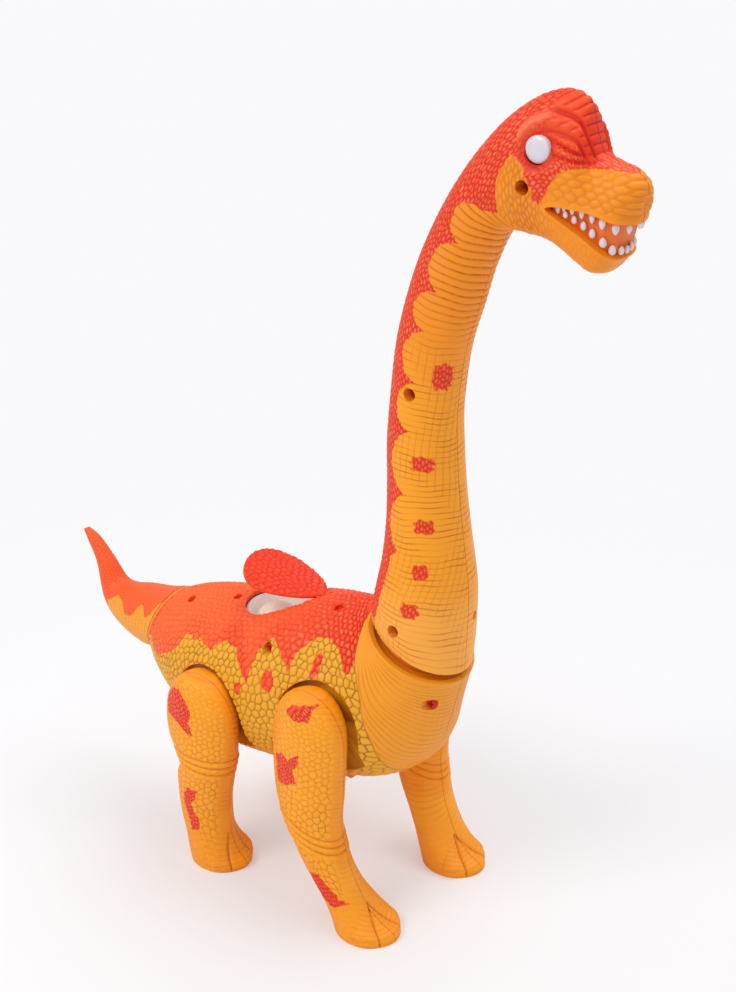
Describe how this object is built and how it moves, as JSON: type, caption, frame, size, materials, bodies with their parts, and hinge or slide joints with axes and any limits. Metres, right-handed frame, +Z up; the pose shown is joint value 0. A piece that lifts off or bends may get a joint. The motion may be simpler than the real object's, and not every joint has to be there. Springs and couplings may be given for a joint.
{
  "type": "walking egg-laying toy dinosaur",
  "caption": "Long-necked toy dinosaur that walks on geared swinging legs, with a back hatch over an egg tray and a chute that lays the egg.",
  "frame": {"origin": "middle of the whole toy's footprint box, on the floor under the soles", "axes": "+X forward to the snout, +Y to the animal's left, +Z up"},
  "size_m": [0.343, 0.1148, 0.4257],
  "materials": {
    "orange_shell": "scaly moulded satin",
    "red_shell": "scaly moulded satin",
    "leg_orange": "scaly moulded satin",
    "bright_orange": "smooth satin",
    "deep_orange": "smooth satin",
    "white_plastic": "smooth",
    "tooth_white": "smooth",
    "milky_lens": "milky, glossy",
    "cream_plastic": "smooth",
    "gear_nylon": "natural nylon",
    "case_grey": "moulded",
    "steel": "plated",
    "board_green": "solder mask",
    "cell_jacket": "plain jacket",
    "black_plastic": "moulded"
  },
  "bodies": {
    "body": {"body_right": "orange_shell", "body_left": "orange_shell", "hatch_pin": "steel", "egg_tray": "white_plastic", "egg_chute": "white_plastic", "egg": "cream_plastic", "gear_case_right": "case_grey", "gear_case_left": "case_grey", "motor": "steel", "battery_box": "case_grey", "cell_1": "cell_jacket", "cell_2": "cell_jacket", "cell_3": "cell_jacket", "contact_rear": "steel", "contact_front": "steel", "circuit_board": "board_green", "speaker": "black_plastic", "chest_screw": "steel", "flank_screw": "steel", "rump_screw": "steel"},
    "hatch": {"hatch_lid": "red_shell"},
    "gate": {"egg_gate": "white_plastic"},
    "neck": {"neck_right": "orange_shell", "neck_left": "orange_shell", "neck_hub": "bright_orange", "mouth_wall": "deep_orange", "teeth_upper": "tooth_white", "teeth_lower": "tooth_white", "eye_lens_right": "milky_lens", "eye_lens_left": "milky_lens", "eye_lamp_right": "white_plastic", "eye_lamp_left": "white_plastic", "neck_screw_lower": "steel", "neck_screw_upper": "steel", "head_screw": "steel"},
    "tail": {"tail": "red_shell", "tail_hub": "bright_orange"},
    "leg_front_right": {"leg_front_right_outer": "leg_orange", "leg_front_right_inner": "leg_orange", "hip_lever_front_right": "gear_nylon"},
    "leg_hind_right": {"leg_hind_right_outer": "leg_orange", "leg_hind_right_inner": "leg_orange", "hip_lever_hind_right": "gear_nylon"},
    "leg_front_left": {"leg_front_left_outer": "leg_orange", "leg_front_left_inner": "leg_orange", "hip_lever_front_left": "gear_nylon"},
    "leg_hind_left": {"leg_hind_left_outer": "leg_orange", "leg_hind_left_inner": "leg_orange", "hip_lever_hind_left": "gear_nylon"},
    "bar_right": {"side_bar_right": "gear_nylon"},
    "bar_left": {"side_bar_left": "gear_nylon"},
    "crank": {"crank_gear": "gear_nylon", "crank_disc_right": "gear_nylon", "crank_disc_left": "gear_nylon"},
    "second_gear": {"step_gear_second": "gear_nylon"},
    "first_gear": {"step_gear_first": "gear_nylon"},
    "pinion": {"motor_pinion": "steel"},
    "door": {"battery_door": "orange_shell"},
    "switch": {"power_switch": "black_plastic"}
  },
  "joints": [
    {"name": "leg_front_right_swing", "type": "hinge", "parent": "body", "child": "leg_front_right", "pos_m": [0.03105, -0.045, 0.109], "axis": [0, 1, 0], "range_deg": [-12, 12]},
    {"name": "leg_hind_right_swing", "type": "hinge", "parent": "body", "child": "leg_hind_right", "pos_m": [-0.04095, -0.045, 0.093], "axis": [0, 1, 0], "range_deg": [-12, 12]},
    {"name": "leg_front_left_swing", "type": "hinge", "parent": "body", "child": "leg_front_left", "pos_m": [0.03105, 0.045, 0.109], "axis": [0, 1, 0], "range_deg": [-12, 12]},
    {"name": "leg_hind_left_swing", "type": "hinge", "parent": "body", "child": "leg_hind_left", "pos_m": [-0.04095, 0.045, 0.093], "axis": [0, 1, 0], "range_deg": [-12, 12]},
    {"name": "bar_right_slide", "type": "slide", "parent": "body", "child": "bar_right", "axis": [1, 0, 0], "range_m": [-0.0034, 0.0034]},
    {"name": "bar_left_slide", "type": "slide", "parent": "body", "child": "bar_left", "axis": [1, 0, 0], "range_m": [-0.0034, 0.0034]},
    {"name": "crank_spin", "type": "hinge", "parent": "body", "child": "crank", "pos_m": [0.01505, 0, 0.1105], "axis": [0, 1, 0], "continuous": true},
    {"name": "second_gear_spin", "type": "hinge", "parent": "body", "child": "second_gear", "pos_m": [0.03382, 0, 0.11347], "axis": [0, 1, 0], "continuous": true},
    {"name": "first_gear_spin", "type": "hinge", "parent": "body", "child": "first_gear", "pos_m": [0.04367, 0, 0.09493], "axis": [0, 1, 0], "continuous": true},
    {"name": "pinion_spin", "type": "hinge", "parent": "body", "child": "pinion", "pos_m": [0.05581, 0, 0.10375], "axis": [0, 1, 0], "continuous": true},
    {"name": "neck_turn", "type": "hinge", "parent": "body", "child": "neck", "pos_m": [0.06405, 0, 0.15075], "axis": [0.4296, 0, 0.903], "range_deg": [-15, 15]},
    {"name": "tail_turn", "type": "hinge", "parent": "body", "child": "tail", "pos_m": [-0.1027, 0, 0.1065], "axis": [-0.9565, 0, 0.2916], "range_deg": [-20, 20]},
    {"name": "hatch_hinge", "type": "hinge", "parent": "body", "child": "hatch", "pos_m": [0.00345, 0, 0.154], "axis": [0, 1, 0], "range_deg": [-28, 45]},
    {"name": "gate_slide", "type": "slide", "parent": "body", "child": "gate", "axis": [-1, 0, 0], "range_m": [0, 0.026]},
    {"name": "door_release", "type": "slide", "parent": "body", "child": "door", "axis": [0, 0, -1], "range_m": [0, 0.03]},
    {"name": "switch_slide", "type": "slide", "parent": "body", "child": "switch", "axis": [1, 0, 0], "range_m": [0, 0.004]}
  ],
  "couplings": [
    {"joint": "leg_hind_right_swing", "follows": "leg_front_right_swing", "ratio": 1},
    {"joint": "leg_front_left_swing", "follows": "leg_front_right_swing", "ratio": -1},
    {"joint": "leg_hind_left_swing", "follows": "leg_front_right_swing", "ratio": -1},
    {"joint": "bar_right_slide", "follows": "leg_front_right_swing", "m_per_rad": 0.016},
    {"joint": "bar_left_slide", "follows": "leg_front_right_swing", "m_per_rad": -0.016},
    {"joint": "second_gear_spin", "follows": "crank_spin", "ratio": -2.8},
    {"joint": "first_gear_spin", "follows": "crank_spin", "ratio": 8.96},
    {"joint": "pinion_spin", "follows": "crank_spin", "ratio": -24.64}
  ]
}
